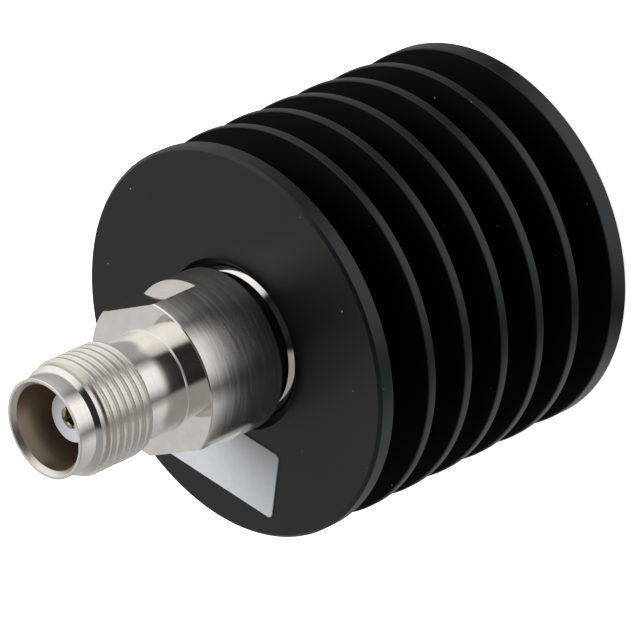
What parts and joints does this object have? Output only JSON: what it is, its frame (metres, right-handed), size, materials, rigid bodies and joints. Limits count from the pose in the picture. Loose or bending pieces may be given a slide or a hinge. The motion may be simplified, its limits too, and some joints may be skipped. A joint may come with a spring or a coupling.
{
  "type": "rf dummy load",
  "caption": "Round black finned heat sink with a threaded coaxial jack on its front face; a matched resistor inside ends a radio line and sheds the power as heat.",
  "frame": {"origin": "centre of the heat sink's flat rear face, on which the load stands", "axes": "+Z along the common axis towards the jack, +Y normal to one of the two wrench flats"},
  "size_m": [0.0382, 0.038, 0.057],
  "materials": {
    "black_anodised": "satin",
    "nickel_plate": "polished",
    "ptfe": "satin",
    "gold_plate": "polished",
    "silver_plate": "satin",
    "film_ceramic": "matte",
    "bare_brass": "satin",
    "label_paper": "satin"
  },
  "bodies": {
    "root": {"heat_sink": "black_anodised", "load_housing": "nickel_plate", "connector_body": "nickel_plate", "contact_insulator": "ptfe", "centre_contact": "gold_plate", "support_bead": "ptfe", "retaining_ring": "nickel_plate", "resistor_front_cap": "silver_plate", "resistor_rod": "film_ceramic", "resistor_rear_cap": "silver_plate", "ground_plug": "bare_brass", "label": "label_paper"}
  },
  "joints": []
}
